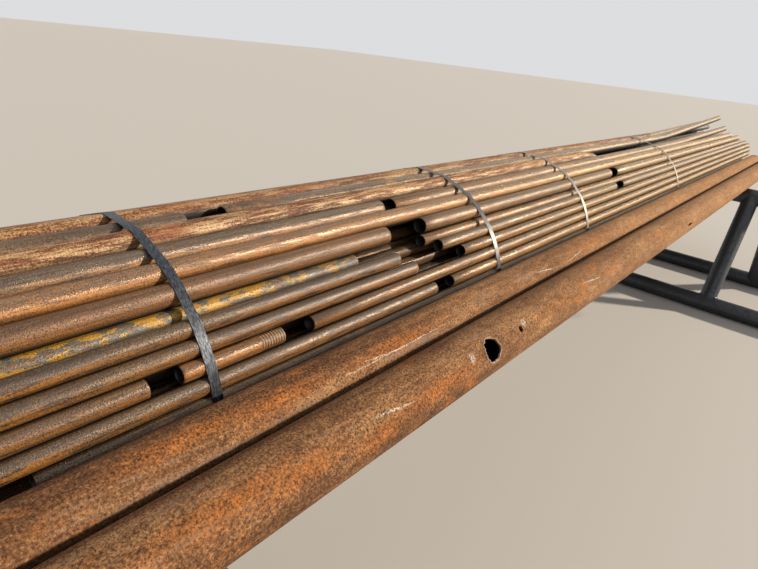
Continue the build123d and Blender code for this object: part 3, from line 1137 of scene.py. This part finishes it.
@dataclass
class LargePipes:
    """The two large pipes beside the bundle."""

    nodes: tuple[str, ...] = ("large_pipe_front", "large_pipe_back")
    tones: tuple[float, ...] = (0.35, 0.65)
    radius_mm: ClassVar[float] = 57.15
    wall_mm: float = 6.0
    hole_at: Mark = Mark(-1802.0, 54.0, 29.5, 26.0)
    hole_points: int = 48
    # How often the hole's edge waves round it, where each wave starts, and how far it goes as a share of the hole
    hole_waves: tuple[tuple[float, float, float], ...] = ((3, 0.6, 0.02), (7, 0.0, 0.03), (11, 2.0, 0.02))
    cutter_reach: tuple[float, float] = (0.5, 1.4)
    slag_mm: float = 2.8
    slag_sunk: float = 0.4
    lump_mm: float = 6.0

    def hole_edge(self) -> list[tuple[float, float]]:
        """Ragged outline of the burnt hole, seen straight down on it.

        Returns:
            Each point's distance from the hole's middle along the pipe and across it, in metres.
        """
        edge = []
        for step in range(self.hole_points):
            angle = math.tau * step / self.hole_points
            ragged = 1.0 + sum(size * math.sin(count * angle + start) for count, start, size in self.hole_waves)
            along = self.hole_at.half_length_mm * ragged * math.cos(angle)
            edge.append((along * MM, self.hole_at.half_width_mm * ragged * math.sin(angle) * MM))
        return edge

    def burn_through(self, piece: Object, node: str) -> None:
        """Open the burnt hole to its full ragged outline, which is wider round the pipe than the CAD node's.

        Args:
            piece: The dressed pipe.
            node: The CAD node that it stands for.
        """
        turn = math.radians(self.hole_at.turn)
        outward = Vector((0.0, -math.sin(turn), math.cos(turn)))
        across = Vector((0.0, -math.cos(turn), -math.sin(turn)))
        middle = middle_line(node) + Vector((self.hole_at.along_mm * MM, 0.0, 0.0))
        edge = self.hole_edge()
        count = len(edge)
        corners = []
        for reach in self.cutter_reach:
            centre = middle + outward * self.radius_mm * reach * MM
            corners += [centre + Vector((along, 0.0, 0.0)) + across * side for along, side in edge]
        faces = [tuple(range(count)), tuple(range(2 * count - 1, count - 1, -1))]
        faces += [(i, count + i, count + (i + 1) % count, (i + 1) % count) for i in range(count)]
        data = bpy.data.meshes.new("hole_cutter")
        data.from_pydata(corners, [], faces)
        solid = bmesh.new()
        solid.from_mesh(data)
        bmesh.ops.recalc_face_normals(solid, faces=solid.faces)
        solid.to_mesh(data)
        solid.free()
        cutter = bpy.data.objects.new("hole_cutter", data)
        modifier = piece.modifiers.new("hole", "BOOLEAN")
        modifier.operation, modifier.solver, modifier.object = "DIFFERENCE", "EXACT", cutter
        keep_result(piece, modifier)
        bpy.data.objects.remove(cutter)
        sharpen(piece.data)

    def unroll(self, piece: Object, node: str) -> None:
        """Give a pipe a map of its skin, in metres along it and round from its top, and mark its bore.

        Args:
            piece: The dressed pipe.
            node: The CAD node that it stands for.
        """
        middle = middle_line(node)
        data = piece.data
        skin = data.uv_layers.new(name=SKIN_MAP)
        for face in data.polygons:
            face_turn = math.atan2(-(face.center.y - middle.y), face.center.z - middle.z)
            for loop in face.loop_indices:
                corner = data.vertices[data.loops[loop].vertex_index].co
                turn = math.atan2(-(corner.y - middle.y), corner.z - middle.z)
                turn += math.tau * round((face_turn - turn) / math.tau)
                skin.data[loop].uv = (corner.x, turn * self.radius_mm * MM)
        limit = (self.radius_mm - self.wall_mm / 2) * MM
        reaches = [math.hypot(v.co.y - middle.y, v.co.z - middle.z) for v in data.vertices]
        give(data, "depth", [float(reach < limit) for reach in reaches])

    def rim_line(self) -> list[Vector]:
        """Edge of the burnt hole on the front pipe's skin.

        Returns:
            The points round the hole.
        """
        middle = middle_line(self.nodes[0])
        radius = (self.radius_mm - self.slag_mm * self.slag_sunk) * MM
        points = []
        for along, side in self.hole_edge():
            turn = math.radians(self.hole_at.turn) + math.asin(side / (self.radius_mm * MM))
            x = self.hole_at.along_mm * MM + along
            points.append(middle + Vector((x, -radius * math.sin(turn), radius * math.cos(turn))))
        return points

    def build(self, finishes: tuple[Material, ...], slag: Material) -> list[Object]:
        """Dress both pipes, and run slag round the burnt hole.

        Args:
            finishes: The materials of the front pipe and the back pipe.
            slag: The material of the hole's rim.

        Returns:
            One piece for each pipe, and the slag.
        """
        made = []
        for node, tone, finish in zip(self.nodes, self.tones, finishes):
            piece = dressed_copy(node, finish)
            if node == self.nodes[0]:
                self.burn_through(piece, node)
            give(piece.data, "tone", [tone] * len(piece.data.vertices))
            self.unroll(piece, node)
            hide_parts(node)
            made.append(piece)
        made.append(Bead(self.slag_mm, self.lump_mm).draw("burnt_hole_slag", [self.rim_line()], slag))
        return made


@dataclass
class Racks:
    """The two welded pipe racks."""

    racks: tuple[str, ...] = ("near", "far")
    legs: tuple[str, ...] = ("leg_front_near", "leg_front_far", "leg_back_near", "leg_back_far")
    tubes: tuple[str, ...] = ("rail", "base_near", "base_far", *legs)
    tube_mm: float = 101.6
    tone: float = 0.5
    weld_mm: float = 5.5
    weld_proud: float = 0.3
    weld_points: int = 48
    ripple_mm: float = 9.0

    def seams(self, rack: str, leg: str) -> list[list[Vector]]:
        """Lines where a leg meets the rail and its base, each a saddle of two equal tubes.

        Args:
            rack: The rack.
            leg: The leg's name.

        Returns:
            The two closed lines.
        """
        radius = self.tube_mm / 2 * MM
        y = middle_line(f"{rack}_rack_{leg}").y
        ends = []
        for tube in ("rail", "base_" + leg.rsplit("_", 1)[1]):
            low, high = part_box(f"{rack}_rack_{tube}")
            ends.append(Vector(((low[0] + high[0]) / 2, y, (low[2] + high[2]) / 2)))
        lines = []
        for joint, other in (ends, ends[::-1]):
            along = (other - joint).normalized()
            sideways = Vector((along.z, 0.0, -along.x))
            line = []
            for step in range(self.weld_points):
                turn = math.tau * step / self.weld_points
                rise = radius * abs(math.sin(turn)) + self.weld_mm * self.weld_proud * MM
                ring = sideways * math.cos(turn) + Vector((0.0, math.sin(turn), 0.0))
                line.append(joint + along * rise + ring * radius)
            lines.append(line)
        return lines

    def build(self, finish: Material) -> list[Object]:
        """Dress every tube of both racks, and lay the welds.

        Args:
            finish: The racks' material.

        Returns:
            The welds and the dressed tubes.
        """
        seams = [seam for rack in self.racks for leg in self.legs for seam in self.seams(rack, leg)]
        made = [Bead(self.weld_mm, self.ripple_mm).draw("rack_welds", seams, finish)]
        for node in (f"{rack}_rack_{tube}" for rack in self.racks for tube in self.tubes):
            piece = dressed_copy(node, finish)
            give(piece.data, "tone", [self.tone] * len(piece.data.vertices))
            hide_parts(node)
            made.append(piece)
        return made


@dataclass
class Studio:
    """Floor, lights and camera."""

    camera_at: tuple[float, float, float] = (-2.743, -0.762, 1.399)
    forward: tuple[float, float, float] = (0.731, 0.558, -0.392)
    image_up: tuple[float, float, float] = (0.2396, 0.3283, 0.9136)
    focal_px: float = 560.0
    photo_width_px: float = 758.0
    sensor_mm: float = 36.0
    sees: tuple[float, float] = (0.01, 200.0)
    floor_reach: float = 60.0
    sun: str = "#FFF0DC"
    sun_energy: float = 4.6
    sun_from: tuple[float, float, float] = (0.70, -0.60, 0.36)
    sun_width: float = 3.0
    sky: str = "#EDEEF0"
    fill: float = 0.38
    backdrop: float = 0.85

    def build_camera(self) -> None:
        """Put the camera where the photograph was taken."""
        data = bpy.data.cameras.new("photo_camera")
        data.sensor_fit = "HORIZONTAL"
        data.sensor_width = self.sensor_mm
        data.lens = self.focal_px / self.photo_width_px * self.sensor_mm
        data.clip_start, data.clip_end = self.sees
        camera = add_object("photo_camera", data)
        back = -Vector(self.forward).normalized()
        right = Vector(self.image_up).cross(back).normalized()
        turn = Matrix((right, back.cross(right), back)).transposed().to_4x4()
        camera.matrix_world = Matrix.Translation(self.camera_at) @ turn
        bpy.context.scene.camera = camera

    def build_floor(self) -> None:
        """Lay the pale floor."""
        data = bpy.data.meshes.new("studio_floor")
        side = self.floor_reach
        corners = [(-side, -side, 0.0), (side, -side, 0.0), (side, side, 0.0), (-side, side, 0.0)]
        data.from_pydata(corners, [], [(0, 1, 2, 3)])
        data.materials.append(PalePaint().make())
        add_object("studio_floor", data)

    def build_lights(self) -> None:
        """Light the stack from the far right, with an even fill."""
        sun = bpy.data.lights.new("key_light", "SUN")
        sun.energy = self.sun_energy
        sun.color = rgba(self.sun)[:3]
        sun.angle = math.radians(self.sun_width)
        key = add_object("key_light", sun)
        key.rotation_euler = Vector(self.sun_from).to_track_quat("Z", "Y").to_euler()
        world = bpy.data.worlds.new("even_fill")
        world.use_nodes = True
        wiring = Wiring(world.node_tree)
        # The camera, gloss and glass see a paler backdrop than the one that lights the stack.
        rays = wiring.add("LightPath").node.outputs
        seen = wiring.add("Math ADD", rays["Is Camera Ray"], rays["Is Glossy Ray"])
        seen = wiring.add("Math ADD", seen, rays["Is Transmission Ray"], use_clamp=True)
        strength = wiring.add("MapRange", seen, 0.0, 1.0, self.fill, self.backdrop)
        wiring.connect(world.node_tree.nodes["Background"], {"Color": rgba(self.sky), "Strength": strength})
        bpy.context.scene.world = world
        bpy.context.scene.view_settings.view_transform = "Standard"

    def build(self) -> None:
        """Build the whole studio."""
        self.build_camera()
        self.build_floor()
        self.build_lights()


def main() -> None:
    """Dress the stack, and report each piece."""
    logging.basicConfig(level=logging.INFO, format="%(name)s %(message)s")
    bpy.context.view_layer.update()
    small = SMALL_SCALE.make()
    finishes = {Stock.SMALL: small, Stock.MEDIUM: small, Stock.THICK: THICK_RUST.make()}
    bundle = Bundle()
    made = bundle.build_outer(finishes, CUT_THREAD.make())
    made.append(bundle.build_core(CORE_DIRT_AND_SHADE.make()))
    made += bundle.build_straps(BluedStrap().make())
    made += LargePipes().build((LARGE_RUST.make(), BACK_RUST.make()), BURNT_RIM.make())
    made += Racks().build(RACK_STEEL.make())
    for piece in made:
        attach(piece, "root")
        log.info("%s: %d faces", piece.name, len(piece.data.polygons))
    Studio().build()


if __name__ == "__main__":
    main()
